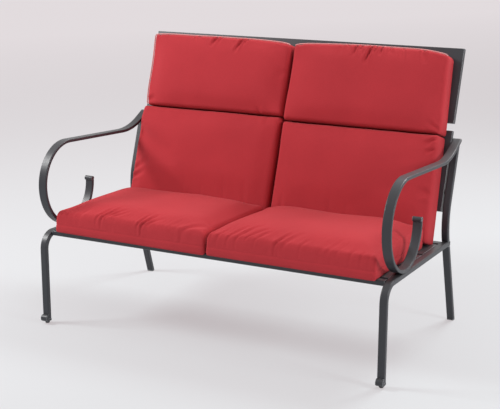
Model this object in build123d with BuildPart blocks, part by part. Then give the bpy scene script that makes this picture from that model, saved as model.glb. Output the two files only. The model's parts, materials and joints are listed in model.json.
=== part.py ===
from build123d import *
from math import cos, radians, sin, tan
import os

# Patio loveseat: two scroll-arm side frames in steel tube, joined by rails and folded steel
# panels, with two loose high-back cushions. Lengths are millimetres, angles degrees.
# In the side view, Y is counted backwards from the front face of the front legs. The planes
# below then move everything so that the origin is on the floor under the middle of the seat.

os.makedirs("parts", exist_ok=True)

# Overall sizes
overall_width = 1254
seat_frame_height = 315
back_top_rise = 514

# Tubes and bars
tube_width = 24
tube_depth = 17
tube_wall = 1.5
tube_corner = 3.5
arm_width = 30
arm_depth = 11
arm_corner = 3

# Front leg, side rail and their bend
leg_bend_radius = 52
rail_slope = 1.6

# Rear post and rear leg, which share one knee
knee_setback = 573
knee_rise = 57
knee_radius = 222
recline = 19
leg_splay = 18
trim_run = 40

# Scroll arm
arm_front = 9
arm_shoulder_radius = 137
arm_belly_radius = 150
arm_curl_radius = 122
arm_curl_rise = 6
arm_rest_slope = 3.7
arm_dip_radius = 260
arm_rise_slope = 27
arm_rise_run = 43
arm_seat_gap = 0.2

# Rolled tip on the arm's curl
tip_radius = 8
tip_lean = 3
tip_rise = 2

# Front foot: rolled toe and glide
toe_reach = 13
toe_height = 23
toe_heel = 3
toe_edge = 1
sole_thickness = 8
glide_radius = 7.5
glide_height = 8
glide_edge = 1.5
stem_radius = 3
stem_length = 6
stem_clearance = 0.2

# Rear foot plug
plug_sole = 3
plug_insert_width = 19
plug_insert_depth = 9
plug_insert_height = 9

# End caps on the open tube ends
cap_thickness = 2
cap_plug_length = 8
cap_clearance = 0.3
upright_plug_length = 2.5

# Cross rails, placed along the deck from the front legs' centreline
front_rail_start = 30
front_rail_width = 24
rear_rail_inset = 23
rear_rail_width = 30

# Folded panels
panel_wall = 1.5
panel_corner = 2.5
panel_lip = 22
seat_panel_end_gap = 0.2
arm_panel_gap = 0.3
seat_panel_count = 3
seat_panel_gap = 14
seat_panel_depth = 16
back_panel_depth = 16.5
lower_panel_bottom = -37
lower_panel_top = 235
back_gap = 25
brace_width = 30
brace_thickness = 6
brace_inset = 12

# Uprights behind the back panels
upright_offset = 300
upright_drop = 4
upright_start = -170

# Bolts and nuts
bolt_radius = 3
bolt_clearance = 0.3
bolt_head_radius = 5
bolt_head_height = 3.5
socket_radius = 2.2
socket_depth = 2
short_bolt_length = 12
long_bolt_length = 25
nut_radius = 5.5
nut_length = 5
nut_clearance = 0.02
nut_seat_gap = 0.05
spacer_radius = 7
post_bolt_heights = (30, 150)
overrun = 1

# Cushions, each with three filled pads
cushion_arm_gap = 19
cushion_split = 4
rest_gap = 0.3
channel_gap = 1
pad_end_bulge = 18
seat_pad_front = 15.5
seat_pad_inset = 86.5
back_pad_bottom = -155
back_pad_channel = 222
back_pad_top = 497
pad_edge = 80
pad_crown = 13
pad_corner_inset = 9
pad_station_shares = (0, 0.03, 0.12, 0.3, 0.5, 0.7, 0.88, 0.97, 1)
pad_edge_shares = (0.5, 0.78, 0.95, 1, 1, 1, 0.95, 0.78, 0.5)
pad_inset_shares = (1, 0.35, 0, 0, 0, 0, 0, 0.35, 1)

# Places worked out from the sizes above
sides = (("left", -1), ("right", 1))
side_x = (overall_width - arm_width) / 2
inner_x = side_x - tube_width / 2
leg_centre = tube_depth / 2
deck_top = tube_depth / 2
deck_slope = radians(rail_slope)
lean = radians(recline)
splay = radians(leg_splay)
knee_height = seat_frame_height + knee_rise
knee_foot_y = knee_setback + knee_radius * (1 - cos(splay))
knee_foot_z = knee_height - knee_radius * sin(splay)
rail_end = (
    knee_foot_y
    + tube_depth / 2 / cos(splay)
    + (knee_foot_z - seat_frame_height + knee_setback * tan(deck_slope)) * tan(splay)
)
rail_length = (rail_end - leg_centre) / cos(deck_slope)
rear_rail_start = rail_length - rear_rail_inset - rear_rail_width
knee_end_y = knee_setback + knee_radius * (1 - cos(lean))
knee_end_z = knee_height + knee_radius * sin(lean)
back_y = knee_end_y - tube_depth / 2 * cos(lean)
back_z = knee_end_z + tube_depth / 2 * sin(lean)
upper_panel_bottom = lower_panel_top + back_gap
upright_top = back_top_rise - upright_drop
upright_back = back_panel_depth + tube_depth
rear_bolt_edge = back_top_rise - panel_lip / 2 + bolt_head_radius
rearmost = back_y + rear_bolt_edge * sin(lean) + (upright_back + bolt_head_height) * cos(lean)
depth_centre = (rearmost - toe_reach) / 2
foot_top = glide_height + sole_thickness
seat_panel_half = inner_x - seat_panel_end_gap
arm_inner_x = side_x - arm_width / 2
back_panel_half = arm_inner_x - arm_panel_gap
cushion_width = arm_inner_x - cushion_arm_gap - cushion_split / 2
seat_pad_rear = rear_rail_start - seat_pad_inset


# A plane seen from the side at X = x: local x runs backwards and local y runs up
def side_view(x):
    return Plane(origin=(x, -depth_centre, 0), x_dir=(0, 1, 0), z_dir=(1, 0, 0))


# The same, tilted with the seat deck and counted from the side rail's centreline
def deck_view(x):
    start = (x, leg_centre - depth_centre, seat_frame_height)
    return Plane(origin=start, x_dir=(0, cos(deck_slope), -sin(deck_slope)), z_dir=(1, 0, 0))


# The same, reclined with the back: local x runs up the back and local y forwards out of it
def back_view(x):
    start = (x, back_y - depth_centre, back_z)
    return Plane(origin=start, x_dir=(0, sin(lean), cos(lean)), z_dir=(1, 0, 0))


# A plane along the deck at a height above the rail's centreline, facing up
def deck_level(height):
    view = deck_view(0)
    start = view.from_local_coords((0, height, 0))
    return Plane(origin=start, x_dir=(1, 0, 0), z_dir=view.y_dir)


# A plane along the back at a distance in front of the posts, facing forwards
def back_level(distance):
    view = back_view(0)
    start = view.from_local_coords((0, distance, 0))
    return Plane(origin=start, x_dir=(1, 0, 0), z_dir=view.y_dir)


# A plane across a route's start, with its x axis along the seat
def across(route):
    return Plane(origin=route @ 0, x_dir=(1, 0, 0), z_dir=route % 0)


# The hollow section of a rounded tube
def tube_section(width, depth, corner):
    RectangleRounded(width, depth, corner)
    RectangleRounded(
        width - 2 * tube_wall, depth - 2 * tube_wall, corner - tube_wall, mode=Mode.SUBTRACT
    )


def write(piece, name):
    piece.part.label = name
    export_step(piece.part, f"parts/{name}.step")


# The deck's panels lie between the cross rails with equal gaps
deck_start = front_rail_start + front_rail_width
panel_room = rear_rail_start - deck_start - seat_panel_gap * (seat_panel_count + 1)
seat_panel_width = panel_room / seat_panel_count
seat_panel_starts = [
    deck_start + seat_panel_gap + number * (seat_panel_width + seat_panel_gap)
    for number in range(seat_panel_count)
]
seat_places = [(start + seat_panel_width / 2, 0) for start in seat_panel_starts]
post_places = [(height, -tube_depth / 2) for height in post_bolt_heights]

# Front legs, each one bent tube with its side rail
rail_drop = (rail_end - leg_centre) * tan(deck_slope)
for side, sign in sides:
    with BuildPart() as leg_rail:
        with BuildLine(side_view(sign * side_x)) as route:
            FilletPolyline(
                (leg_centre, foot_top),
                (leg_centre, seat_frame_height),
                (rail_end, seat_frame_height - rail_drop),
                radius=leg_bend_radius,
            )
        with BuildSketch(across(route.wire())):
            tube_section(tube_width, tube_depth, tube_corner)
        sweep(path=route.wire())
        with BuildSketch(deck_view(sign * inner_x)):
            with Locations(*seat_places):
                Circle(bolt_radius + bolt_clearance)
        extrude(amount=tube_wall + overrun, both=True, mode=Mode.SUBTRACT)
    write(leg_rail, f"{side}_leg_rail")

# The arm's route: curl, belly and shoulder circles, armrest, dip and rise to the post
arm_centre_y = arm_front + arm_depth / 2 + arm_belly_radius
shoulder_centre_y = arm_front + arm_depth / 2 + arm_shoulder_radius
belly_centre_z = (
    seat_frame_height
    - (arm_centre_y - leg_centre) * tan(deck_slope)
    + (deck_top + arm_belly_radius + arm_depth / 2 + arm_seat_gap) / cos(deck_slope)
)
curl_centre_z = belly_centre_z - arm_belly_radius + arm_curl_radius
curl_end_y = arm_centre_y + arm_curl_radius
curl_end_z = curl_centre_z + arm_curl_rise
rest = radians(arm_rest_slope)
rise = radians(arm_rise_slope)
rest_start_y = shoulder_centre_y + arm_shoulder_radius * sin(rest)
rest_start_z = belly_centre_z + arm_shoulder_radius * cos(rest)
dip_y = arm_dip_radius * (sin(rise) + sin(rest)) + arm_rise_run * cos(rise)
dip_z = arm_dip_radius * (cos(rest) - cos(rise)) + arm_rise_run * sin(rise)
post_back_at_end = knee_end_y + tube_depth / 2 / cos(lean)
rest_length = (
    post_back_at_end + (rest_start_z + dip_z - knee_end_z) * tan(lean) - rest_start_y - dip_y
) / (cos(rest) + sin(rest) * tan(lean))
arm_end_y = rest_start_y + rest_length * cos(rest) + dip_y
arm_end_z = rest_start_z - rest_length * sin(rest) + dip_z

# Scroll arms
for side, sign in sides:
    with BuildPart() as arm:
        with BuildLine(side_view(sign * side_x)) as route:
            Line((curl_end_y, curl_end_z), (curl_end_y, curl_centre_z))
            CenterArc((arm_centre_y, curl_centre_z), arm_curl_radius, 0, -90)
            CenterArc((arm_centre_y, belly_centre_z), arm_belly_radius, -90, -90)
            CenterArc(
                (shoulder_centre_y, belly_centre_z), arm_shoulder_radius, 180, -90 - arm_rest_slope
            )
            armrest = PolarLine((rest_start_y, rest_start_z), rest_length, -arm_rest_slope)
            dip = JernArc(
                armrest @ 1, armrest % 1, arm_dip_radius, arm_rest_slope + arm_rise_slope
            )
            Line(dip @ 1, (arm_end_y, arm_end_z))
        with BuildSketch(across(route.wire())):
            tube_section(arm_width, arm_depth, arm_corner)
        sweep(path=route.wire())
    write(arm, f"{side}_arm")

    with BuildPart() as tip:
        with BuildSketch(side_view(sign * side_x)):
            with Locations((curl_end_y - tip_lean, curl_end_z + tip_rise)):
                Circle(tip_radius)
            with Locations((curl_end_y, curl_end_z + tip_rise / 2)):
                Rectangle(arm_depth, tip_rise)
            with Locations((curl_end_y - arm_depth / 2, curl_end_z)):
                Rectangle(
                    tip_radius + arm_depth,
                    tip_radius + arm_depth,
                    align=(Align.MIN, Align.MAX),
                    mode=Mode.SUBTRACT,
                )
        extrude(amount=arm_width / 2, both=True)
    write(tip, f"{side}_arm_tip")

    with BuildPart() as arm_cap:
        end_plane = Plane(
            origin=(sign * side_x, arm_end_y - depth_centre, arm_end_z),
            x_dir=(1, 0, 0),
            z_dir=(0, cos(rise), sin(rise)),
        )
        with BuildSketch(end_plane):
            RectangleRounded(arm_width, arm_depth, arm_corner)
        extrude(amount=cap_thickness)
        with BuildSketch(end_plane):
            RectangleRounded(
                arm_width - 2 * (tube_wall + cap_clearance),
                arm_depth - 2 * (tube_wall + cap_clearance),
                arm_corner - tube_wall,
            )
        extrude(amount=-cap_plug_length)
    write(arm_cap, f"{side}_arm_cap")

# Rear posts, from the side rail up to the arm's underside
knee_centre_y = knee_setback + knee_radius
under_arm = Plane(
    origin=(
        0,
        arm_end_y + arm_depth / 2 * sin(rise) - depth_centre,
        arm_end_z - arm_depth / 2 * cos(rise),
    ),
    z_dir=(0, -sin(rise), cos(rise)),
)
post_run = (arm_end_z - knee_end_z) / cos(lean) + trim_run
for side, sign in sides:
    with BuildPart() as post:
        with BuildLine(side_view(sign * side_x)) as route:
            knee = CenterArc(
                (knee_centre_y, knee_height), knee_radius, 180 + leg_splay, -leg_splay - recline
            )
            PolarLine(knee @ 1, post_run, 90 - recline)
        with BuildSketch(across(route.wire())):
            tube_section(tube_width, tube_depth, tube_corner)
        sweep(path=route.wire())
        split(bisect_by=deck_level(deck_top), keep=Keep.TOP)
        split(bisect_by=under_arm, keep=Keep.BOTTOM)
        with BuildSketch(back_view(sign * inner_x)):
            with Locations(*post_places):
                Circle(bolt_radius + bolt_clearance)
        extrude(amount=tube_wall + overrun, both=True, mode=Mode.SUBTRACT)
    write(post, f"{side}_back_post")

    # Rear leg, from the rail's underside down to its plug
    with BuildPart() as rear_leg:
        with BuildLine(side_view(sign * side_x)) as route:
            knee = CenterArc((knee_centre_y, knee_height), knee_radius, 180, leg_splay)
            PolarLine(knee @ 1, knee_height / cos(radians(leg_splay)), leg_splay - 90)
        with BuildSketch(across(route.wire())):
            tube_section(tube_width, tube_depth, tube_corner)
        sweep(path=route.wire())
        split(bisect_by=deck_level(-deck_top), keep=Keep.BOTTOM)
        split(bisect_by=Plane.XY.offset(plug_sole), keep=Keep.TOP)
    write(rear_leg, f"{side}_rear_leg")

    # Plastic plug in the rear leg's foot
    foot_y = knee_foot_y + (knee_foot_z - plug_sole) * tan(splay) - depth_centre
    sole_depth = tube_depth / cos(splay)
    with BuildPart() as plug:
        with BuildSketch(Plane((sign * side_x, foot_y, 0))):
            RectangleRounded(tube_width, sole_depth, tube_corner)
        extrude(amount=plug_sole)
        insert_y = foot_y - plug_insert_height / 2 * tan(splay)
        with BuildSketch(Plane((sign * side_x, insert_y, plug_sole))):
            Rectangle(plug_insert_width, plug_insert_depth)
        extrude(amount=plug_insert_height)
    write(plug, f"{side}_rear_plug")

# Front feet: a rolled toe in front of the leg, on a sole that holds the glide
for side, sign in sides:
    glide_place = Plane((sign * side_x, leg_centre - depth_centre, 0))
    with BuildPart() as toe:
        with BuildSketch(side_view(sign * side_x)):
            with BuildLine():
                Polyline(
                    (-toe_heel, glide_height),
                    (tube_depth, glide_height),
                    (tube_depth, foot_top),
                    (0, foot_top),
                    (0, glide_height + toe_height),
                )
                ThreePointArc(
                    (0, glide_height + toe_height),
                    (-toe_reach, glide_height + toe_height / 2),
                    (-toe_heel, glide_height),
                )
            make_face()
        extrude(amount=tube_width / 2, both=True)
        with BuildSketch(glide_place.offset(glide_height)):
            Circle(stem_radius + stem_clearance)
        extrude(amount=stem_length + stem_clearance, mode=Mode.SUBTRACT)
        chamfer(toe.edges().filter_by(Axis.Z), toe_edge)
    write(toe, f"{side}_front_toe")

    with BuildPart() as glide:
        with BuildSketch(glide_place):
            Circle(glide_radius)
        extrude(amount=glide_height)
        chamfer(glide.faces().sort_by(Axis.Z)[0].edges(), glide_edge)
        with BuildSketch(glide_place.offset(glide_height)):
            Circle(stem_radius)
        extrude(amount=stem_length)
    write(glide, f"{side}_front_glide")

# Plastic caps in the rear ends of the side rails
for side, sign in sides:
    with BuildPart() as rail_cap:
        rear_end = Plane(
            origin=deck_view(sign * side_x).from_local_coords((rail_length, 0, 0)),
            x_dir=(1, 0, 0),
            z_dir=(0, cos(deck_slope), -sin(deck_slope)),
        )
        with BuildSketch(rear_end):
            RectangleRounded(tube_width, tube_depth, tube_corner)
        extrude(amount=cap_thickness)
        with BuildSketch(rear_end):
            RectangleRounded(
                tube_width - 2 * (tube_wall + cap_clearance),
                tube_depth - 2 * (tube_wall + cap_clearance),
                tube_corner - tube_wall,
            )
        extrude(amount=-cap_plug_length)
    write(rail_cap, f"{side}_rail_cap")

# Front and rear cross rails between the side rails
cross_rails = (
    ("front_rail", front_rail_start, front_rail_width),
    ("rear_rail", rear_rail_start, rear_rail_width),
)
for name, start, width in cross_rails:
    with BuildPart() as cross_rail:
        with BuildSketch(deck_view(-inner_x)):
            with Locations((start + width / 2, 0)):
                tube_section(width, tube_depth, tube_corner)
        extrude(amount=2 * inner_x)
    write(cross_rail, name)


# A folded panel: a tray that opens away from the sitter, with a lip along both long edges
def tray_section(start, end, front, depth):
    with Locations(((start + end) / 2, front - depth / 2)):
        RectangleRounded(end - start, depth, panel_corner)


def tray_hollow(start, end, front, depth):
    with Locations(((start + end) / 2, front - depth / 2)):
        Rectangle(end - start - 2 * panel_wall, depth - 2 * panel_wall)
    with Locations(((start + end) / 2, front - depth)):
        Rectangle(end - start - 2 * panel_lip, 2 * depth - 2 * panel_wall)


# Seat panels, bolted through their ends to the side rails
seat_panel_names = ("front", "middle", "rear")
for name, start, place in zip(seat_panel_names, seat_panel_starts, seat_places):
    with BuildPart() as seat_panel:
        with BuildSketch(deck_view(-seat_panel_half)):
            tray_section(start, start + seat_panel_width, deck_top, seat_panel_depth)
        extrude(amount=2 * seat_panel_half)
        with BuildSketch(deck_view(-seat_panel_half + panel_wall)):
            tray_hollow(start, start + seat_panel_width, deck_top, seat_panel_depth)
        extrude(amount=2 * (seat_panel_half - panel_wall), mode=Mode.SUBTRACT)
        with BuildSketch(deck_view(-seat_panel_half - overrun)):
            with Locations(place):
                Circle(bolt_radius + bolt_clearance)
        extrude(amount=2 * (seat_panel_half + overrun), mode=Mode.SUBTRACT)
    write(seat_panel, f"{name}_seat_panel")

# Flat brace under the seat panels
with BuildPart() as deck_brace:
    brace_top = deck_top - seat_panel_depth
    brace_start = seat_panel_starts[0] + brace_inset
    brace_end = seat_panel_starts[-1] + seat_panel_width - brace_inset
    with BuildSketch(deck_view(-brace_width / 2)):
        with Locations(((brace_start + brace_end) / 2, brace_top - brace_thickness / 2)):
            Rectangle(brace_end - brace_start, brace_thickness)
    extrude(amount=brace_width)
write(deck_brace, "deck_brace")

# Back panels: the lower one is bolted to the posts, both are bolted to the uprights
back_panels = (
    ("lower_back_panel", lower_panel_bottom, lower_panel_top),
    ("upper_back_panel", upper_panel_bottom, back_top_rise),
)
upright_bolt_places = [
    (sign * upright_offset, height)
    for side, sign in sides
    for name, bottom, top in back_panels
    for height in (bottom + panel_lip / 2, top - panel_lip / 2)
]
for name, bottom, top in back_panels:
    with BuildPart() as back_panel:
        with BuildSketch(back_view(-back_panel_half)):
            tray_section(bottom, top, 0, back_panel_depth)
        extrude(amount=2 * back_panel_half)
        with BuildSketch(back_view(-back_panel_half + panel_wall)):
            tray_hollow(bottom, top, 0, back_panel_depth)
        extrude(amount=2 * (back_panel_half - panel_wall), mode=Mode.SUBTRACT)
        with BuildSketch(back_level(-back_panel_depth)):
            with Locations(*upright_bolt_places):
                Circle(bolt_radius + bolt_clearance)
        extrude(amount=panel_wall + overrun, both=True, mode=Mode.SUBTRACT)
        if name == "lower_back_panel":
            with BuildSketch(back_view(-back_panel_half - overrun)):
                with Locations(*post_places):
                    Circle(bolt_radius + bolt_clearance)
            extrude(amount=2 * (back_panel_half + overrun), mode=Mode.SUBTRACT)
    write(back_panel, name)

# Uprights that carry the upper back panel, standing on the rear rail
for side, sign in sides:
    tube_middle = -back_panel_depth - tube_depth / 2
    with BuildPart() as upright:
        start = back_view(sign * upright_offset).from_local_coords(
            (upright_start, tube_middle, 0)
        )
        upright_base = Plane(origin=start, x_dir=(1, 0, 0), z_dir=(0, sin(lean), cos(lean)))
        with BuildSketch(upright_base):
            tube_section(tube_width, tube_depth, tube_corner)
        extrude(amount=upright_top - upright_start)
        split(bisect_by=deck_level(deck_top), keep=Keep.TOP)
        with BuildSketch(back_level(-upright_back - overrun)):
            with Locations(*upright_bolt_places):
                Circle(bolt_radius + bolt_clearance)
        extrude(amount=tube_depth + 2 * overrun, mode=Mode.SUBTRACT)
    write(upright, f"{side}_upright")

    with BuildPart() as upright_cap:
        cap_base = upright_base.offset(upright_top - upright_start)
        with BuildSketch(cap_base):
            RectangleRounded(tube_width, tube_depth, tube_corner)
        extrude(amount=cap_thickness)
        with BuildSketch(cap_base):
            RectangleRounded(
                tube_width - 2 * (tube_wall + cap_clearance),
                tube_depth - 2 * (tube_wall + cap_clearance),
                tube_corner - tube_wall,
            )
        extrude(amount=-upright_plug_length)
    write(upright_cap, f"{side}_upright_cap")


# Planes that face outwards along X, at a distance from the middle and at places in a view
def outward(view, distance, places):
    planes = []
    for side, sign in sides:
        for along, up in places:
            start = view(sign * distance).from_local_coords((along, up, 0))
            planes.append(Plane(origin=start, z_dir=(sign, 0, 0)))
    return planes


# Where the three sorts of bolt have the underside of their heads, and their nuts begin
wall_x = inner_x + tube_wall + nut_seat_gap
seat_heads = outward(deck_view, seat_panel_half - panel_wall, seat_places)
seat_walls = outward(deck_view, wall_x, seat_places)
post_heads = outward(back_view, back_panel_half - panel_wall, post_places)
post_walls = outward(back_view, wall_x, post_places)
upright_heads = [
    Plane(origin=back_level(-upright_back).from_local_coords(at), z_dir=back_level(0).z_dir)
    for at in upright_bolt_places
]
upright_walls = [place.offset(tube_depth + panel_wall) for place in upright_heads]
fixings = (
    ("seat", seat_heads, seat_walls, short_bolt_length),
    ("post", post_heads, post_walls, short_bolt_length),
    ("upright", upright_heads, upright_walls, long_bolt_length),
)
for name, heads, walls, length in fixings:
    with BuildPart() as bolts:
        with BuildSketch(*heads):
            Circle(bolt_head_radius)
        extrude(amount=-bolt_head_height)
        with BuildSketch(*heads):
            Circle(bolt_radius)
        extrude(amount=length)
        with BuildSketch(*[head.offset(-bolt_head_height) for head in heads]):
            RegularPolygon(socket_radius, 6)
        extrude(amount=socket_depth, mode=Mode.SUBTRACT)
    write(bolts, f"{name}_bolts")

    with BuildPart() as nuts:
        with BuildSketch(*walls):
            RegularPolygon(nut_radius, 6)
            Circle(bolt_radius + nut_clearance, mode=Mode.SUBTRACT)
        extrude(amount=nut_length)
    write(nuts, f"{name}_nuts")


# Spacers that hold the lower back panel off the posts, clear of the arms
with BuildPart() as spacers:
    with BuildSketch(*outward(back_view, back_panel_half, post_places)):
        Circle(spacer_radius)
        Circle(bolt_radius + bolt_clearance, mode=Mode.SUBTRACT)
    extrude(amount=inner_x - back_panel_half)
write(spacers, "post_spacers")


# A pad's outline in a side plane: flat below, with round ends and a crowned top
def pad_outline(start, end, low, thickness, crown):
    bulge = pad_end_bulge * thickness / pad_edge
    high = low + thickness
    middle = low + thickness / 2
    Line((start + bulge, low), (end - bulge, low))
    ThreePointArc((end - bulge, low), (end, middle), (end - bulge, high))
    ThreePointArc((end - bulge, high), ((start + end) / 2, high + crown), (start + bulge, high))
    ThreePointArc((start + bulge, high), (start, middle), (start + bulge, low))


# The cushions' pads: each is thickest in the middle and draws in towards its sides
pads = (
    ("seat_pad", deck_view, deck_top + rest_gap, seat_pad_front, seat_pad_rear),
    ("lower_back_pad", back_view, rest_gap, back_pad_bottom, back_pad_channel),
    ("upper_back_pad", back_view, rest_gap, back_pad_channel + channel_gap, back_pad_top),
)
for side, sign in sides:
    for name, view, low, start, end in pads:
        with BuildPart() as pad:
            stations = zip(pad_station_shares, pad_edge_shares, pad_inset_shares)
            for station_share, edge_share, inset_share in stations:
                x = sign * (cushion_split / 2 + station_share * cushion_width)
                inset = pad_corner_inset * inset_share
                with BuildSketch(view(x)):
                    with BuildLine():
                        pad_outline(
                            start + inset,
                            end - inset,
                            low,
                            pad_edge * edge_share,
                            pad_crown * edge_share,
                        )
                    make_face()
            loft()
        write(pad, f"{side}_{name}")
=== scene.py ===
import json
import math

import bmesh
import bpy
import numpy as np
from mathutils import Matrix, Vector, noise


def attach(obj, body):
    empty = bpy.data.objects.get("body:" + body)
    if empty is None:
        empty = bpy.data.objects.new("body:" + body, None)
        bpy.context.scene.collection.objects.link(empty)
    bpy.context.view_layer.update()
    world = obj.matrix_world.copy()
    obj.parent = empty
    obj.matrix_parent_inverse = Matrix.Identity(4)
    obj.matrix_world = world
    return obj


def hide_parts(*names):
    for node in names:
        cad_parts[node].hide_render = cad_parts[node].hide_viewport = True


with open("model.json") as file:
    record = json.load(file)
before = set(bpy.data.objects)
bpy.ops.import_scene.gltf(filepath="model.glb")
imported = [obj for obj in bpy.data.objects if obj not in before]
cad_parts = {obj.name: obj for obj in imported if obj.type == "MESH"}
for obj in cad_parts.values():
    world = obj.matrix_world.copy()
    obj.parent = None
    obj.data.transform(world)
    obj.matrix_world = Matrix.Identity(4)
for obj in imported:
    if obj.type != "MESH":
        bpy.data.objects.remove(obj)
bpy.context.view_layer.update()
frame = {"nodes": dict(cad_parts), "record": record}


# Frame: bent steel tube for the legs, side rails, arms and posts, and trays of folded sheet
# for the seat and the back, welded and bolted together. The charcoal powder coat is slightly
# pebbled and uneven in tone, and holds fine dust where it faces up. Its edges are painted
# paler, a painted highlight for the light that rounded edges catch.
def new_node(tree, kind, **settings):
    made = tree.nodes.new(kind)
    for name, value in settings.items():
        if hasattr(made, name):
            setattr(made, name, value)
        else:
            made.inputs[name.replace("_", " ").title()].default_value = value
    return made


def join(tree, start, start_name, end, end_name):
    tree.links.new(start.outputs[start_name], end.inputs[end_name])


def new_group(name, inputs, outputs):
    group = bpy.data.node_groups.new(name, "ShaderNodeTree")
    for socket, kind in inputs:
        group.interface.new_socket(socket, in_out="INPUT", socket_type=kind)
    for socket, kind in outputs:
        group.interface.new_socket(socket, in_out="OUTPUT", socket_type=kind)
    return group, group.nodes.new("NodeGroupInput"), group.nodes.new("NodeGroupOutput")


edge_radius = 0.0035
# pale grey of the painted highlight along the edges
edge_highlight_colour = (0.46, 0.46, 0.48, 1)
dust_colour = (0.42, 0.41, 0.39, 1)
tone_patches = 9.0
tone_gloss = 0.16
coat, coat_in, coat_out = new_group(
    "pebbled coat",
    [
        ("Colour", "NodeSocketColor"),
        ("Pebble Scale", "NodeSocketFloat"),
        ("Least Roughness", "NodeSocketFloat"),
    ],
    [
        ("Colour", "NodeSocketColor"),
        ("Roughness", "NodeSocketFloat"),
        ("Height", "NodeSocketFloat"),
        ("Rounded", "NodeSocketVector"),
    ],
)
coat_place = new_node(coat, "ShaderNodeTexCoord")
coat_faces = new_node(coat, "ShaderNodeNewGeometry")

# pebbles, and edges that catch the light as rounded ones do
pebbles = new_node(coat, "ShaderNodeTexNoise")
join(coat, coat_place, "Object", pebbles, "Vector")
join(coat, coat_in, "Pebble Scale", pebbles, "Scale")
join(coat, pebbles, "Fac", coat_out, "Height")
rounded = new_node(coat, "ShaderNodeBevel", samples=6, radius=edge_radius)
join(coat, rounded, "Normal", coat_out, "Rounded")
# how far the rounded normal turns from the flat face: this marks the edges for the painted highlight
turned = new_node(coat, "ShaderNodeVectorMath", operation="DOT_PRODUCT")
join(coat, rounded, "Normal", turned, 0)
join(coat, coat_faces, "True Normal", turned, 1)
highlight_on_edge = new_node(coat, "ShaderNodeMapRange", from_min=0.95, from_max=0.8, to_max=0.8)
join(coat, turned, "Value", highlight_on_edge, "Value")

# tone in soft patches, then dust, then a painted highlight along the edges
tone = new_node(coat, "ShaderNodeTexNoise", scale=tone_patches, detail=4.0)
join(coat, coat_place, "Object", tone, "Vector")
tone_range = new_node(coat, "ShaderNodeMapRange", to_min=0.86, to_max=1.16)
join(coat, tone, "Fac", tone_range, "Value")
toned = new_node(coat, "ShaderNodeMix", data_type="RGBA", blend_type="MULTIPLY", factor=1.0)
join(coat, coat_in, "Colour", toned, "A")
join(coat, tone_range, "Result", toned, "B")
faces_up = new_node(coat, "ShaderNodeSeparateXYZ")
join(coat, coat_faces, "Normal", faces_up, "Vector")
dust = new_node(coat, "ShaderNodeMapRange", from_min=0.5, to_max=0.06)
join(coat, faces_up, "Z", dust, "Value")
dusted = new_node(coat, "ShaderNodeMix", data_type="RGBA", b=dust_colour)
join(coat, dust, "Result", dusted, "Factor")
join(coat, toned, "Result", dusted, "A")
# painted highlight: a paler grey mixed in along the edges, standing in for light caught on rounded
# edges
highlighted = new_node(coat, "ShaderNodeMix", data_type="RGBA", b=edge_highlight_colour)
join(coat, highlight_on_edge, "Result", highlighted, "Factor")
join(coat, dusted, "Result", highlighted, "A")
join(coat, highlighted, "Result", coat_out, "Colour")
gloss = new_node(coat, "ShaderNodeMath", operation="MULTIPLY_ADD")
join(coat, tone, "Fac", gloss, 0)
gloss.inputs[1].default_value = tone_gloss
join(coat, coat_in, "Least Roughness", gloss, 2)
join(coat, gloss, "Value", coat_out, "Roughness")


def coated(name, colour, pebble_scale, pebble_height, least_roughness, metallic=0.0):
    material = bpy.data.materials.new(name)
    material.use_nodes = True
    tree = material.node_tree
    shader = tree.nodes["Principled BSDF"]
    surface = new_node(tree, "ShaderNodeGroup", node_tree=coat)
    surface.inputs["Colour"].default_value = colour
    surface.inputs["Pebble Scale"].default_value = pebble_scale
    surface.inputs["Least Roughness"].default_value = least_roughness
    relief = new_node(tree, "ShaderNodeBump", strength=1.0, distance=pebble_height)
    join(tree, surface, "Height", relief, "Height")
    join(tree, surface, "Rounded", relief, "Normal")
    join(tree, surface, "Colour", shader, "Base Color")
    join(tree, surface, "Roughness", shader, "Roughness")
    join(tree, relief, "Normal", shader, "Normal")
    shader.inputs["Metallic"].default_value = metallic
    return material


def finish_pieces(slot, material):
    for subpart in frame["record"]["subparts"]:
        if subpart["material_slot"] == slot:
            piece = frame["nodes"][subpart["node"]]
            piece.data.materials.clear()
            piece.data.materials.append(material)


charcoal = (0.028, 0.028, 0.034, 1)
powder_coat = coated(
    "charcoal powder coat", charcoal, pebble_scale=700.0, pebble_height=0.00008, least_roughness=0.32
)
finish_pieces("frame_paint", powder_coat)

# Plastic pieces: moulded black caps and plugs pushed into the open tube ends, a glide under
# each front toe, and the spacers between the lower back panel and the posts.
black = (0.02, 0.02, 0.022, 1)
black_plastic = coated(
    "moulded black plastic", black, pebble_scale=1400.0, pebble_height=0.00006, least_roughness=0.5
)
finish_pieces("black_plastic", black_plastic)

# Fixings: zinc plated steel bolts and nuts. They hold the seat panels to the side rails, the
# lower back panel to the posts, and both back panels to the uprights.
pale_zinc = (0.42, 0.42, 0.43, 1)
zinc = coated(
    "zinc plated steel", pale_zinc, pebble_scale=900.0, pebble_height=0.00003,
    least_roughness=0.28, metallic=1.0,
)
finish_pieces("fixings", zinc)

# Cushion cover: a plain-woven red outdoor cloth with a matte face and a faint sheen, cut and
# sewn for all the pads. Its threads run across the seat and from front to back, and its dye
# is slightly uneven.
thread_scale = 330.0
thread_height = 0.0002
slub_height = 0.9
slub_scale = 420.0
dye_patches = 7.0
weave, weave_in, weave_out = new_group(
    "plain weave",
    [
        ("Vector", "NodeSocketVector"),
        ("Colour", "NodeSocketColor"),
        ("Thread Scale", "NodeSocketFloat"),
    ],
    [
        ("Colour", "NodeSocketColor"),
        ("Roughness", "NodeSocketFloat"),
        ("Height", "NodeSocketFloat"),
    ],
)

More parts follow.
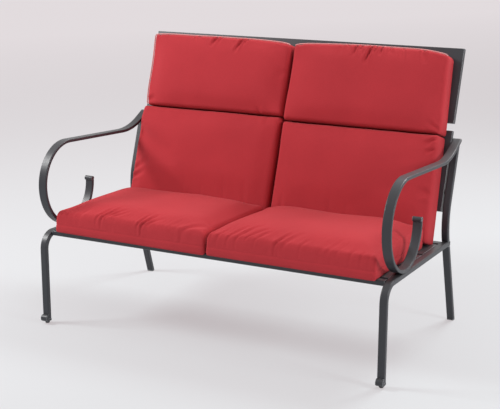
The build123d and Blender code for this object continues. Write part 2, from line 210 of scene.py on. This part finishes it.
# threads that cross, with thick and thin places along them
crossing = new_node(weave, "ShaderNodeMath", operation="MAXIMUM")
for number, direction in enumerate(("X", "Y")):
    thread = new_node(weave, "ShaderNodeTexWave", bands_direction=direction, distortion=0.6)
    join(weave, weave_in, "Vector", thread, "Vector")
    join(weave, weave_in, "Thread Scale", thread, "Scale")
    join(weave, thread, "Fac", crossing, number)
slub = new_node(weave, "ShaderNodeTexNoise", scale=slub_scale, detail=3.0)
join(weave, weave_in, "Vector", slub, "Vector")
raised = new_node(weave, "ShaderNodeMath", operation="MULTIPLY_ADD")
join(weave, slub, "Fac", raised, 0)
raised.inputs[1].default_value = slub_height
join(weave, crossing, "Value", raised, 2)
join(weave, raised, "Value", weave_out, "Height")
nap = new_node(weave, "ShaderNodeMapRange", to_min=0.78, to_max=0.95)
join(weave, slub, "Fac", nap, "Value")
join(weave, nap, "Result", weave_out, "Roughness")

# dye
dye = new_node(weave, "ShaderNodeTexNoise", scale=dye_patches, detail=4.0)
join(weave, weave_in, "Vector", dye, "Vector")
dye_range = new_node(weave, "ShaderNodeMapRange", to_min=0.9, to_max=1.1)
join(weave, dye, "Fac", dye_range, "Value")
slub_range = new_node(weave, "ShaderNodeMapRange", to_min=0.86, to_max=1.12)
join(weave, slub, "Fac", slub_range, "Value")
uneven = new_node(weave, "ShaderNodeMath", operation="MULTIPLY")
join(weave, dye_range, "Result", uneven, 0)
join(weave, slub_range, "Result", uneven, 1)
dyed = new_node(weave, "ShaderNodeMix", data_type="RGBA", blend_type="MULTIPLY", factor=1.0)
join(weave, weave_in, "Colour", dyed, "A")
join(weave, uneven, "Value", dyed, "B")
join(weave, dyed, "Result", weave_out, "Colour")


def woven(name, colour, lean):
    material = bpy.data.materials.new(name)
    material.use_nodes = True
    tree = material.node_tree
    shader = tree.nodes["Principled BSDF"]
    place = new_node(tree, "ShaderNodeTexCoord")
    laid_flat = new_node(tree, "ShaderNodeMapping")
    laid_flat.inputs["Rotation"].default_value = (lean, 0, 0)
    join(tree, place, "Object", laid_flat, "Vector")
    cloth = new_node(tree, "ShaderNodeGroup", node_tree=weave)
    join(tree, laid_flat, "Vector", cloth, "Vector")
    cloth.inputs["Colour"].default_value = colour
    cloth.inputs["Thread Scale"].default_value = thread_scale
    relief = new_node(tree, "ShaderNodeBump", strength=0.6, distance=thread_height)
    join(tree, cloth, "Height", relief, "Height")
    join(tree, cloth, "Colour", shader, "Base Color")
    join(tree, cloth, "Roughness", shader, "Roughness")
    join(tree, relief, "Normal", shader, "Normal")
    shader.inputs["Specular IOR Level"].default_value = 0.12
    shader.inputs["Sheen Weight"].default_value = 0.08
    shader.inputs["Sheen Roughness"].default_value = 0.5
    shader.inputs["Sheen Tint"].default_value = (1.0, 0.55, 0.55, 1)
    return material


# Pads: each cushion is one red cover, parted by sewn channels into a seat pad, a lower back
# pad and an upper back pad, and filled with loose fibre. Each pad starts as a fine box of
# cloth: flat underneath, with a seam low on its sides, and rolled over at its upper edges.
seat_slope = math.radians(1.6)
back_lean = math.radians(19)
deck = Matrix.Translation((0, -0.37372, 0.315)) @ Matrix.Rotation(-seat_slope, 4, "X")
back = Matrix.Translation((0, 0.19484, 0.44704)) @ Matrix.Rotation(math.pi / 2 - back_lean, 4, "X")
red = (0.47, 0.035, 0.044, 1)
seat_cloth = woven("red cover on the seat", red, seat_slope)
back_cloth = woven("red cover on the back", red, back_lean - math.pi / 2)
pad_width = 0.576
pad_middle = 0.29
pad_thickness = 0.076
edge_roll = 0.022
corner_squareness = 60
cloth_spacing = 0.008
seam_step = 0.004
seam_row = 3
straight_rows = 4
piping_row = 8
roll_turns = [22.5, 45.0, 67.5, 90.0]
inner_roll_share = 1.5
channel_pinch = 0.004
channel_reach = 0.035
hang_places = (-1, 0.3, 1)
front_hang = (0, 0.006, 0.0075)
hang_reach = 0.0055
side_thinning = 0.14
thinning_reach = 0.05
unevenness = 0.004
uneven_patches = 6
full_edge = 0.04
full_corner = 0.07

# each kind of pad: its size, its place on the seat or the back, its filling and its gathers;
# it runs one way or the other from the end that its place is counted from
kinds = {
    "seat": {
        "length": 0.439, "channel_share": 0, "end": 0.0155, "runs": 1, "height": 0.0088,
        "seam": 0.026, "side_roll": 0.01, "low_roll": 0.014, "high_roll": 0.01,
        "crown": 0.014, "crown_flatness": 8, "fullness": 0.05, "kept_move": (0.5, 0.5, 1.0),
        "gather": 0.007, "gather_reach": 0.05, "gather_slant": 0.55, "spare_length": 0.003,
        "place": deck, "cloth": seat_cloth,
    },
    "lower_back": {
        "length": 0.377, "channel_share": -1, "end": -0.155, "runs": 1, "height": 0.0003,
        "seam": 0.012, "side_roll": 0.013, "low_roll": 0.01, "high_roll": 0.011,
        "crown": 0.01, "crown_flatness": 2.5, "fullness": 0.025, "kept_move": (0.35, 0.35, 0.8),
        "gather": 0.005, "gather_reach": 0.02, "gather_slant": 0.0, "spare_length": 0.0,
        "place": back, "cloth": back_cloth,
    },
    "upper_back": {
        "length": 0.27, "channel_share": 1, "end": 0.493, "runs": -1, "height": 0.0003,
        "seam": 0.012, "side_roll": 0.013, "low_roll": 0.016, "high_roll": 0.01,
        "crown": 0.01, "crown_flatness": 8, "fullness": 0.025, "kept_move": (0.35, 0.35, 0.8),
        "gather": 0.005, "gather_reach": 0.028, "gather_slant": 0.25, "spare_length": 0.0,
        "place": back, "cloth": back_cloth,
    },
}

# each side: the right cushion's upper channel is sewn lower, and its top corners droop more
sides = {
    "left": {
        "seed": 1, "middle": -pad_middle, "channel_drop": 0.0, "hang_share": 1,
        "top_droops": (0.003, 0.014),
        "drawn_in": {"seat": (0, 0), "lower_back": (0.002, 0.008), "upper_back": (0.014, 0.008)},
    },
    "right": {
        "seed": 5, "middle": pad_middle, "channel_drop": 0.012, "hang_share": 0.2,
        "top_droops": (0.013, 0.016),
        "drawn_in": {"seat": (0, 0), "lower_back": (-0.009, 0.002), "upper_back": (0.0, 0.011)},
    },
}
pads = {}


def cloth_box(name, length, rows):
    bpy.ops.object.select_all(action="DESELECT")
    bpy.ops.mesh.primitive_cube_add(size=2)
    box = bpy.context.object
    box.name = name
    box.data.name = name
    bpy.ops.object.mode_set(mode="EDIT")
    bpy.ops.mesh.select_mode(type="EDGE")
    for axis, cuts in (
        (0, round(pad_width / cloth_spacing) - 1),
        (1, round(length / cloth_spacing) - 1),
        (2, rows - 2),
    ):
        cloth = bmesh.from_edit_mesh(box.data)
        for strand in cloth.edges:
            first, second = strand.verts
            strand.select_set(abs(first.co[axis] - second.co[axis]) > 1e-4)
        bmesh.update_edit_mesh(box.data)
        bpy.ops.mesh.subdivide(number_cuts=cuts)
    bpy.ops.object.mode_set(mode="OBJECT")
    return box


def start_pad(kind, side, seed):
    made = kinds[kind]
    own = sides[side]
    length = made["length"] + made["channel_share"] * own["channel_drop"]
    seam = made["seam"]
    turns = np.array([0.0] * piping_row + roll_turns) * math.pi / 180
    straight = np.linspace(seam + seam_step, pad_thickness - edge_roll, straight_rows)
    rolled = pad_thickness - edge_roll * (1 - np.sin(turns[piping_row:]))
    heights = np.array([0, seam / 2, seam - seam_step, seam, *straight, *rolled])
    pad = cloth_box(f"{side}_{kind}_cushion", length, len(heights))
    places = np.array([v.co for v in pad.data.vertices])
    across, along = places[:, 0], places[:, 1]
    row = np.rint((places[:, 2] + 1) / 2 * (len(heights) - 1)).astype(int)
    border = np.maximum(abs(across), abs(along))
    on_side = border > 0.999
    outer = across if side == "right" else -across
    from_side = (1 - abs(across)) * pad_width / 2
    from_front = (1 + along) * length / 2
    from_rear = (1 - along) * length / 2
    from_edge = np.minimum(from_side, np.minimum(from_front, from_rear))
    from_corner = np.hypot(from_side, np.minimum(from_front, from_rear))

    # plan: small round corners, sides that the channel pinches and the stitching draws in
    power = corner_squareness
    reach = (abs(across) ** power + abs(along) ** power) ** (1 / power)
    round_off = border / np.maximum(reach, 1e-9)
    inset = 1 - np.cos(turns[row])
    side_roll = made["side_roll"] * np.where(outer > 0, 1.0, inner_roll_share)
    end_roll = np.where(along < 0, made["low_roll"], made["high_roll"])
    from_channel = {"seat": np.inf, "lower_back": from_rear, "upper_back": from_front}[kind]
    near_channel = np.exp(-((from_channel / channel_reach) ** 2))
    pinch = channel_pinch * near_channel * (outer > 0) * heights[row] / pad_thickness
    drawn_in = (outer > 0) * np.interp(along, (-1, 1), own["drawn_in"][kind])
    x = across * round_off * (pad_width / 2 - side_roll * inset - pinch - drawn_in)
    y = along * round_off * (length / 2 - end_roll * inset)

    # height: a seat pad hangs a little over the front rail, an upper pad droops at its top
    # corners and thins to its outer side, and all are crowned and uneven on top
    z = heights[row]
    if kind == "seat":
        hang = np.interp(across * own["hang_share"], hang_places, front_hang)
        z -= hang * (row == 0) * np.exp(-((from_front / hang_reach) ** 2))
    if kind == "upper_back":
        droop = np.where(across < 0, *own["top_droops"])
        y -= (along + 1) / 2 * droop * abs(across) ** 5
        near_side = (outer > 0) * np.exp(-((from_side / thinning_reach) ** 2))
        z *= 1 - side_thinning * near_side * (row > seam_row)
    crowned = (1 - abs(across) ** made["crown_flatness"]) * (1 - along**4)
    z += np.where(row == len(heights) - 1, made["crown"] * crowned, 0)
    for number in np.nonzero(row >= piping_row)[0]:
        patch = (x[number] * uneven_patches + seed * 3.1, y[number] * uneven_patches, seed)
        z[number] += unevenness * noise.noise(patch)
    start = np.stack([x, y, z], axis=1)
    pad.data.vertices.foreach_set("co", start.astype(np.float32).ravel())

    # what stays sewn while the filling pushes, and where the cover is cut full
    held = pad.vertex_groups.new(name="held")
    sewn = (row == 0) | (on_side & (row <= seam_row))
    held.add([int(number) for number in np.nonzero(sewn)[0]], 1.0, "REPLACE")
    eased = pad.vertex_groups.new(name="eased")
    for number in np.nonzero(row > seam_row)[0]:
        near_edge = math.exp(-from_edge[number] / full_edge)
        near_corner = math.exp(-from_corner[number] / full_corner)
        eased.add([int(number)], near_edge * (1 - near_corner), "REPLACE")
    pads[pad.name] = {
        "object": pad, "kind": kind, "side": side, "seed": seed, "start": start, "length": length,
        "across": across, "along": along, "piped": on_side & (row == piping_row),
    }


for side in sides:
    for number, kind in enumerate(kinds):
        start_pad(kind, side, sides[side]["seed"] + number)

# The filling lifts the cover between its seams: a light pressure inside cloth that is cut a
# little full at its edges, so that it gathers there.
last_step = 20
for facts in pads.values():
    cloth = facts["object"].modifiers.new("Cloth", "CLOTH")
    cloth.settings.quality = 5
    cloth.settings.mass = 0.3
    cloth.settings.tension_stiffness = 30
    cloth.settings.compression_stiffness = 30
    cloth.settings.shear_stiffness = 6
    cloth.settings.bending_stiffness = 0.15
    cloth.settings.use_pressure = True
    cloth.settings.uniform_pressure_force = 2.5
    cloth.settings.vertex_group_shrink = "eased"
    cloth.settings.shrink_min = 0.0
    cloth.settings.shrink_max = -kinds[facts["kind"]]["fullness"]
    cloth.settings.vertex_group_mass = "held"
    cloth.settings.pin_stiffness = 1
    cloth.settings.effector_weights.gravity = 0
    cloth.collision_settings.use_collision = False
    cloth.collision_settings.use_self_collision = False
    cloth.point_cache.frame_start = 1
    cloth.point_cache.frame_end = last_step
for step in range(1, last_step + 1):
    bpy.context.scene.frame_set(step)
for facts in pads.values():
    bpy.ops.object.select_all(action="DESELECT")
    bpy.context.view_layer.objects.active = facts["object"]
    bpy.ops.object.modifier_apply(modifier="Cloth")
bpy.context.scene.frame_set(1)

# Folds of a cover that has been sat on. Each is a soft valley, given by its two ends counted
# from the pad's middle, its width and its depth, and it is deepest at its first end.
folds = {
    "left_upper_back_cushion": [
        (0.1, 0.145, 0.074, 0.07, 0.0055, 0.009), (0.115, 0.137, 0.1, 0.1, 0.006, 0.004),
        (-0.005, 0.145, -0.025, 0.09, 0.006, 0.009), (0.012, 0.137, 0.0, 0.105, 0.006, 0.003),
        (-0.082, 0.137, -0.09, 0.11, 0.008, 0.003), (-0.11, 0.137, -0.118, 0.11, 0.008, 0.002),
        (-0.265, 0.137, -0.25, 0.12, 0.007, 0.004), (0.2, -0.137, 0.19, -0.11, 0.01, 0.003),
        (0.28, 0.02, 0.25, 0.01, 0.012, 0.003), (-0.27, -0.12, -0.23, -0.105, 0.009, 0.005),
    ],
    "right_upper_back_cushion": [
        (0.01, 0.145, -0.004, 0.065, 0.006, 0.01), (0.026, 0.145, 0.02, 0.11, 0.0045, 0.006),
        (0.045, 0.145, 0.044, 0.1, 0.005, 0.006), (-0.045, 0.145, -0.05, 0.09, 0.006, 0.007),
        (-0.028, 0.145, -0.03, 0.115, 0.0045, 0.005), (-0.075, 0.145, -0.077, 0.12, 0.005, 0.005),
        (-0.1, 0.137, -0.105, 0.085, 0.009, 0.002), (0.075, 0.137, 0.08, 0.11, 0.006, 0.004),
        (0.12, 0.137, 0.122, 0.08, 0.009, 0.002), (0.19, 0.145, 0.205, 0.08, 0.008, 0.005),
        (-0.27, 0.137, -0.25, 0.12, 0.008, 0.003), (0.275, -0.125, 0.235, -0.1, 0.007, 0.005),
        (0.285, 0.04, 0.26, 0.02, 0.01, 0.003),
    ],
    "left_lower_back_cushion": [
        (-0.29, 0.1, -0.08, -0.02, 0.03, 0.01), (-0.285, -0.06, -0.2, -0.015, 0.009, 0.005),
        (-0.285, -0.09, -0.21, -0.055, 0.008, 0.005), (-0.05, -0.14, -0.045, -0.06, 0.009, 0.004),
        (0.02, -0.14, 0.03, -0.07, 0.01, 0.003), (0.12, -0.14, 0.11, -0.04, 0.01, 0.005),
        (0.2, -0.14, 0.19, -0.05, 0.01, 0.005), (0.23, 0.188, 0.24, 0.15, 0.008, 0.003),
    ],
    "right_lower_back_cushion": [
        (0.29, -0.02, 0.24, -0.01, 0.012, 0.005), (0.275, 0.165, 0.235, 0.14, 0.007, 0.007),
        (0.275, 0.13, 0.245, 0.115, 0.006, 0.006), (-0.06, -0.14, -0.055, -0.05, 0.01, 0.004),
        (0.0, -0.14, 0.005, -0.07, 0.01, 0.004), (-0.24, -0.14, -0.235, -0.06, 0.01, 0.004),
    ],
    "left_seat_cushion": [
        (-0.125, -0.215, -0.085, -0.165, 0.0045, 0.0035),
        (-0.105, -0.215, -0.055, -0.15, 0.0045, 0.0045),
        (-0.09, -0.21, -0.03, -0.155, 0.0045, 0.0035), (-0.06, -0.2, -0.01, -0.16, 0.005, 0.002),
        (0.035, -0.215, 0.06, -0.165, 0.0045, 0.0035), (0.05, -0.215, 0.095, -0.155, 0.005, 0.005),
        (0.07, -0.21, 0.12, -0.175, 0.0045, 0.003), (0.15, -0.21, 0.17, -0.18, 0.006, 0.002),
        (0.2, -0.215, 0.28, -0.165, 0.008, 0.004), (-0.2, -0.22, -0.17, -0.17, 0.01, 0.0015),
        (0.28, -0.15, 0.25, -0.13, 0.01, 0.002),
    ],
    "right_seat_cushion": [
        (-0.25, -0.215, -0.215, -0.165, 0.0045, 0.003),
        (-0.215, -0.215, -0.155, -0.15, 0.005, 0.003),
        (-0.185, -0.215, -0.11, -0.13, 0.005, 0.0035),
        (-0.15, -0.21, -0.085, -0.15, 0.0045, 0.0035),
        (-0.12, -0.215, -0.08, -0.17, 0.0045, 0.003),
        (-0.05, -0.215, -0.005, -0.155, 0.005, 0.0035),
        (-0.02, -0.21, 0.04, -0.14, 0.008, 0.0015), (0.035, -0.215, 0.06, -0.175, 0.005, 0.0025),
        (0.1, -0.22, 0.13, -0.17, 0.009, 0.0015), (-0.272, -0.215, -0.258, -0.185, 0.0045, 0.003),
        (0.2, -0.215, 0.212, -0.185, 0.005, 0.003), (0.235, -0.215, 0.243, -0.19, 0.0045, 0.003),
        (0.262, -0.215, 0.268, -0.195, 0.0045, 0.003), (0.28, -0.1, 0.25, -0.09, 0.01, 0.003),
        (0.28, 0.02, 0.25, 0.02, 0.01, 0.003),
    ],
}

# A finished pad: the cloth's move is evened out and limited to what the filling does, the
# folds and gathers are pressed in, and the pads are laid on the frame where they meet.
even_passes = 24
most_moved = 0.014
fold_start = 0.7
fold_widening = 0.6
bank_height = 0.5
bank_place = 1.8
gather_pitch = 90
gather_bend = 16
gather_drop = 25
gather_patches = 11
side_fade = 1.4
upright_share = 0.2
top_share = 1.2
seam_fade = 0.006
seam_groove = 0.0016
seam_width = 0.0028
inner_room = 0.0016
outer_room = 0.01
side_ease = 0.004
end_ease = 0.003
front_ease = 0.008
back_pad_front = 0.088
back_pad_swell = 0.03
swell_low = -0.13
swell_run = 0.2
meeting_gap = 0.0005


def soft_limit(values, limit, ease):
    past = np.maximum(values - limit + ease, 0)
    return np.where(past > 0, limit - ease * np.exp(-past / ease), values)


def settle(facts):
    cloth = facts["object"].data
    moved = np.array([v.co for v in cloth.vertices]) - facts["start"]
    strands = np.array([e.vertices for e in cloth.edges])
    joined = np.bincount(strands.ravel())[:, None]
    sewn = np.linalg.norm(moved, axis=1) < 1e-6
    for _ in range(even_passes):
        spread = np.zeros_like(moved)
        np.add.at(spread, strands[:, 0], moved[strands[:, 1]])
        np.add.at(spread, strands[:, 1], moved[strands[:, 0]])
        moved = spread / joined
        moved[sewn] = 0
    distance = np.maximum(np.linalg.norm(moved, axis=1), 1e-9)
    moved *= (most_moved * np.tanh(distance / most_moved) / distance)[:, None]
    moved *= kinds[facts["kind"]]["kept_move"]
    cloth.vertices.foreach_set("co", (facts["start"] + moved).astype(np.float32).ravel())
    cloth.update()


def press_folds(now, outward, free, marks):
    for x0, y0, x1, y1, width, depth in marks:
        run = np.array([x1 - x0, y1 - y0])
        share = ((now[:, 0] - x0) * run[0] + (now[:, 1] - y0) * run[1]) / (run @ run)
        near = np.clip(share, 0, 1)
        away = np.hypot(now[:, 0] - x0 - near * run[0], now[:, 1] - y0 - near * run[1])
        wide = width * (fold_start + fold_widening * near)
        valley = np.exp(-((away / wide) ** 2))
        banks = bank_height * np.exp(-(((away - bank_place * wide) / wide) ** 2))
        now -= outward * (depth * (valley - banks) * (1 - near**2) * free)[:, None]


def press_gathers(now, outward, free, facts):
    made = kinds[facts["kind"]]
    reach = made["gather_reach"]
    toward_end = now[:, 1] if facts["kind"] == "seat" else -now[:, 1]
    from_end = facts["length"] / 2 + toward_end
    for number, spot in enumerate(now):
        if from_end[number] < 3 * reach and free[number] > 0:
            slid = spot[0] - made["gather_slant"] * from_end[number]
            lengthways = from_end[number] * gather_bend - spot[2] * gather_drop
            gather = noise.noise((slid * gather_pitch, lengthways, facts["seed"]))
            patch = 0.5 + noise.noise((spot[0] * gather_patches, 0, facts["seed"] + 4))
            size = made["gather"] * math.exp(-from_end[number] / reach) * max(patch, 0)
            now[number] -= outward[number] * size * free[number] * abs(gather)


for name, facts in pads.items():
    pad = facts["object"]
    side = facts["side"]
    made = kinds[facts["kind"]]
    settle(facts)
    if facts["kind"] == "upper_back":
        facts["unfolded"] = pad.data.copy()
    bpy.ops.object.select_all(action="DESELECT")
    pad.select_set(True)
    bpy.context.view_layer.objects.active = pad
    pad.vertex_groups.clear()
    fine = pad.modifiers.new("Fine cloth", "SUBSURF")
    fine.levels = 1
    fine.render_levels = 1
    bpy.ops.object.modifier_apply(modifier="Fine cloth")
    bpy.ops.object.shade_smooth()
    now = np.array([v.co for v in pad.data.vertices])
    outward = np.array([v.normal for v in pad.data.vertices])

    # folds and gathers fade at the seam, on the outer sides and on the upright faces
    above_seam = np.clip((now[:, 2] - made["seam"]) / seam_fade, 0, 1)
    off_sides = np.clip(side_fade - side_fade * abs(outward[:, 0]), 0, 1)
    on_top = np.clip(upright_share + top_share * outward[:, 2], upright_share, 1)
    free = above_seam * off_sides * on_top
    press_folds(now, outward, free, folds[name])
    press_gathers(now, outward, free, facts)
    seam_line = np.exp(-(((now[:, 2] - made["seam"]) / seam_width) ** 2)) * (outward[:, 2] < 0.5)
    now -= outward * (seam_groove * seam_line)[:, None]

    # room on each side, and the front of the back pads, which the seat pad runs up to
    inner = now[:, 0] if side == "left" else -now[:, 0]
    half_width = pad_width / 2 + np.where(inner > 0, inner_room, outer_room)
    now[:, 0] = np.sign(now[:, 0]) * soft_limit(abs(now[:, 0]), half_width, side_ease)
    half_length = facts["length"] / 2 + made["spare_length"]
    now[:, 1] = np.sign(now[:, 1]) * soft_limit(abs(now[:, 1]), half_length, end_ease)
    if facts["kind"] == "lower_back":
        rise = np.clip((now[:, 1] - swell_low) / swell_run, 0, 1)
        front = back_pad_front - made["height"] + back_pad_swell * rise**2 * (3 - 2 * rise)
        now[:, 2] = soft_limit(now[:, 2], front, front_ease)
    middle = made["end"] + facts["length"] / 2 * made["runs"]
    facts["shift"] = np.array([sides[side]["middle"], middle, made["height"]])
    now += facts["shift"]
    pad.data.vertices.foreach_set("co", now.astype(np.float32).ravel())
    pad.data.transform(made["place"])
    if facts["kind"] == "seat":
        onto_back = back.inverted()
        for point in pad.data.vertices:
            behind = back_pad_front + meeting_gap - (onto_back @ point.co).z
            if behind > 0:
                point.co.y -= behind / math.cos(back_lean)
    pad.data.update()
    pad.data.materials.clear()
    pad.data.materials.append(made["cloth"])
    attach(pad, f"{side}_cushion")
    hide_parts(name.replace("cushion", "pad"))

# Piping: a thin cord in its own strip of the same weave, in a paler pink that is partly a
# painted highlight, standing in for the rim light along these edges. It is sewn into the
# upper pads' front seam, along the top of both and down the left one's outer side.
piping_radius = 0.0022
# the paler pink is partly a painted highlight: it stands in for the rim light that the top and left
# edges catch
piping_pink_and_highlight = (0.7, 0.3, 0.3, 1)
piping_cloth_and_highlight = woven("paler piping", piping_pink_and_highlight, back_lean - math.pi / 2)
stands_out = {"left": (-0.003, 0.0012, 0.0015), "right": (-0.001, 0.0012, 0)}
for name, facts in pads.items():
    if facts["kind"] != "upper_back":
        continue
    side = facts["side"]
    bpy.ops.object.select_all(action="DESELECT")
    unfolded = bpy.data.objects.new("unfolded cover", facts["unfolded"])
    bpy.context.collection.objects.link(unfolded)
    unfolded.select_set(True)
    bpy.context.view_layer.objects.active = unfolded
    bpy.ops.object.mode_set(mode="EDIT")
    bpy.ops.mesh.select_mode(type="EDGE")
    bpy.ops.mesh.select_all(action="DESELECT")
    cloth = bmesh.from_edit_mesh(unfolded.data)
    for strand in cloth.edges:
        ends = [v.index for v in strand.verts]
        on_seam = all(facts["piped"][end] for end in ends)
        along_top = all(facts["along"][end] > 0.999 for end in ends)
        down_side = side == "left" and all(facts["across"][end] < -0.999 for end in ends)
        strand.select_set(on_seam and (along_top or down_side))
    bmesh.update_edit_mesh(unfolded.data)
    bpy.ops.mesh.duplicate()
    bpy.ops.mesh.separate(type="SELECTED")
    bpy.ops.object.mode_set(mode="OBJECT")
    piping = [strip for strip in bpy.context.selected_objects if strip != unfolded][0]
    bpy.data.meshes.remove(facts["unfolded"])
    bpy.ops.object.select_all(action="DESELECT")
    piping.select_set(True)
    bpy.context.view_layer.objects.active = piping
    bpy.ops.object.convert(target="CURVE")
    piping = bpy.context.object
    piping.name = name.replace("cushion", "piping")
    piping.data.bevel_depth = piping_radius
    piping.data.bevel_resolution = 2
    piping.data.use_fill_caps = True
    bpy.ops.object.convert(target="MESH")
    piping = bpy.context.object
    piping.data.name = piping.name
    bpy.ops.object.shade_smooth()
    laid = np.array([v.co for v in piping.data.vertices]) + facts["shift"] + stands_out[side]
    piping.data.vertices.foreach_set("co", laid.astype(np.float32).ravel())
    piping.data.transform(back)
    piping.data.materials.clear()
    piping.data.materials.append(piping_cloth_and_highlight)
    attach(piping, f"{side}_cushion")


# Floor: a wide, pale studio floor that fills the view. To the camera and in reflections it
# glows a pale grey with a faint pink, a painted light that is brighter to the left and the
# rear, so that only a faint shadow is left on it, tinted pink as painted bounce light from the
# red cushions.
def background_rays(tree):
    rays = new_node(tree, "ShaderNodeLightPath")
    mirrored = new_node(tree, "ShaderNodeMath", operation="MAXIMUM")
    join(tree, rays, "Is Glossy Ray", mirrored, 0)
    join(tree, rays, "Is Transmission Ray", mirrored, 1)
    seen = new_node(tree, "ShaderNodeMath", operation="MAXIMUM")
    join(tree, rays, "Is Camera Ray", seen, 0)
    join(tree, mirrored, "Value", seen, 1)
    return seen


# painted bounce: the floor's own colour is a little cyan and its glow a little pink, so that the
# shadow, where the glow outweighs the lit floor, shows pink like light thrown back from the red
# cushions
floor_colour_for_painted_bounce = (0.69, 0.8, 0.815, 1)
floor_glow_with_painted_bounce = (0.885, 0.795, 0.815, 1)
painted_falloff_direction = (-0.0265, 0.0177, 0)
glow_share = 0.64
floor_size = 80
bpy.ops.object.select_all(action="DESELECT")
bpy.ops.mesh.primitive_plane_add(size=floor_size, location=(0, 10, -0.001))
floor = bpy.context.object
floor.name = "floor"
floor_paint = bpy.data.materials.new("pale studio floor")
floor_paint.use_nodes = True
floor_tree = floor_paint.node_tree
floor_shader = floor_tree.nodes["Principled BSDF"]
floor_shader.inputs["Base Color"].default_value = floor_colour_for_painted_bounce
floor_shader.inputs["Roughness"].default_value = 0.9
floor_shader.inputs["Specular IOR Level"].default_value = 0.1
floor_place = new_node(floor_tree, "ShaderNodeTexCoord")
# painted light falloff: the glow is stronger to the left and the rear, and fades to the right and
# towards the camera
across_floor = new_node(floor_tree, "ShaderNodeVectorMath", operation="DOT_PRODUCT")
join(floor_tree, floor_place, "Object", across_floor, 0)
across_floor.inputs[1].default_value = painted_falloff_direction
painted_falloff_range = new_node(
    floor_tree, "ShaderNodeMapRange", from_min=-0.237, from_max=0.113, to_min=0.8, to_max=1.15
)
join(floor_tree, across_floor, "Value", painted_falloff_range, "Value")
glow = new_node(floor_tree, "ShaderNodeEmission")
glow.inputs["Color"].default_value = floor_glow_with_painted_bounce
join(floor_tree, painted_falloff_range, "Result", glow, "Strength")
share = new_node(floor_tree, "ShaderNodeMath", operation="MULTIPLY")
join(floor_tree, background_rays(floor_tree), "Value", share, 0)
share.inputs[1].default_value = glow_share
mixed = new_node(floor_tree, "ShaderNodeMixShader")
join(floor_tree, share, "Value", mixed, 0)
join(floor_tree, floor_shader, "BSDF", mixed, 1)
join(floor_tree, glow, "Emission", mixed, 2)
join(floor_tree, mixed, "Shader", floor_tree.nodes["Material Output"], "Surface")
floor.data.materials.append(floor_paint)

# Light: a white room that lights evenly and shows brighter than it lights, and three soft
# square panels, on the left, on the right, and high behind the back.
room_light = 0.42
room_shows = 0.3
room = bpy.data.worlds.new("studio light")
bpy.context.scene.world = room
room.use_nodes = True
room_tree = room.node_tree
room_shader = room_tree.nodes["Background"]
room_shader.inputs["Color"].default_value = (1, 1, 1, 1)
room_strength = new_node(room_tree, "ShaderNodeMath", operation="MULTIPLY_ADD")
join(room_tree, background_rays(room_tree), "Value", room_strength, 0)
room_strength.inputs[1].default_value = room_shows
room_strength.inputs[2].default_value = room_light
join(room_tree, room_strength, "Value", room_shader, "Strength")

for name, power, size, place, aim in (
    ("left panel", 86, 0.9, (-2.6, -1.3, 2.4), (0, 0, 0.5)),
    ("right panel", 36, 0.8, (3.0, -0.5, 1.5), (0.2, 0, 0.5)),
    ("rear panel", 74, 1.4, (1.0, 1.85, 2.9), (0, 0, 0.4)),
):
    bpy.ops.object.light_add(type="AREA", location=place)
    lamp = bpy.context.object
    lamp.name = name
    lamp.data.energy = power
    lamp.data.shape = "SQUARE"
    lamp.data.size = size
    lamp.rotation_euler = (Vector(aim) - Vector(place)).to_track_quat("-Z", "Y").to_euler()

# Camera: at standing height, to the right of the loveseat's front, looking slightly down
# through a long lens.
camera_place = (1.748, -3.457, 1.393)
camera_turn = [math.radians(angle) for angle in (90 - 14.28, -0.13, 27.13)]
bpy.ops.object.camera_add(location=camera_place, rotation=camera_turn)
camera = bpy.context.object
camera.data.lens = 84.5
camera.data.sensor_width = 36
camera.data.clip_end = 200
bpy.context.scene.camera = camera
bpy.context.scene.view_settings.view_transform = "Standard"
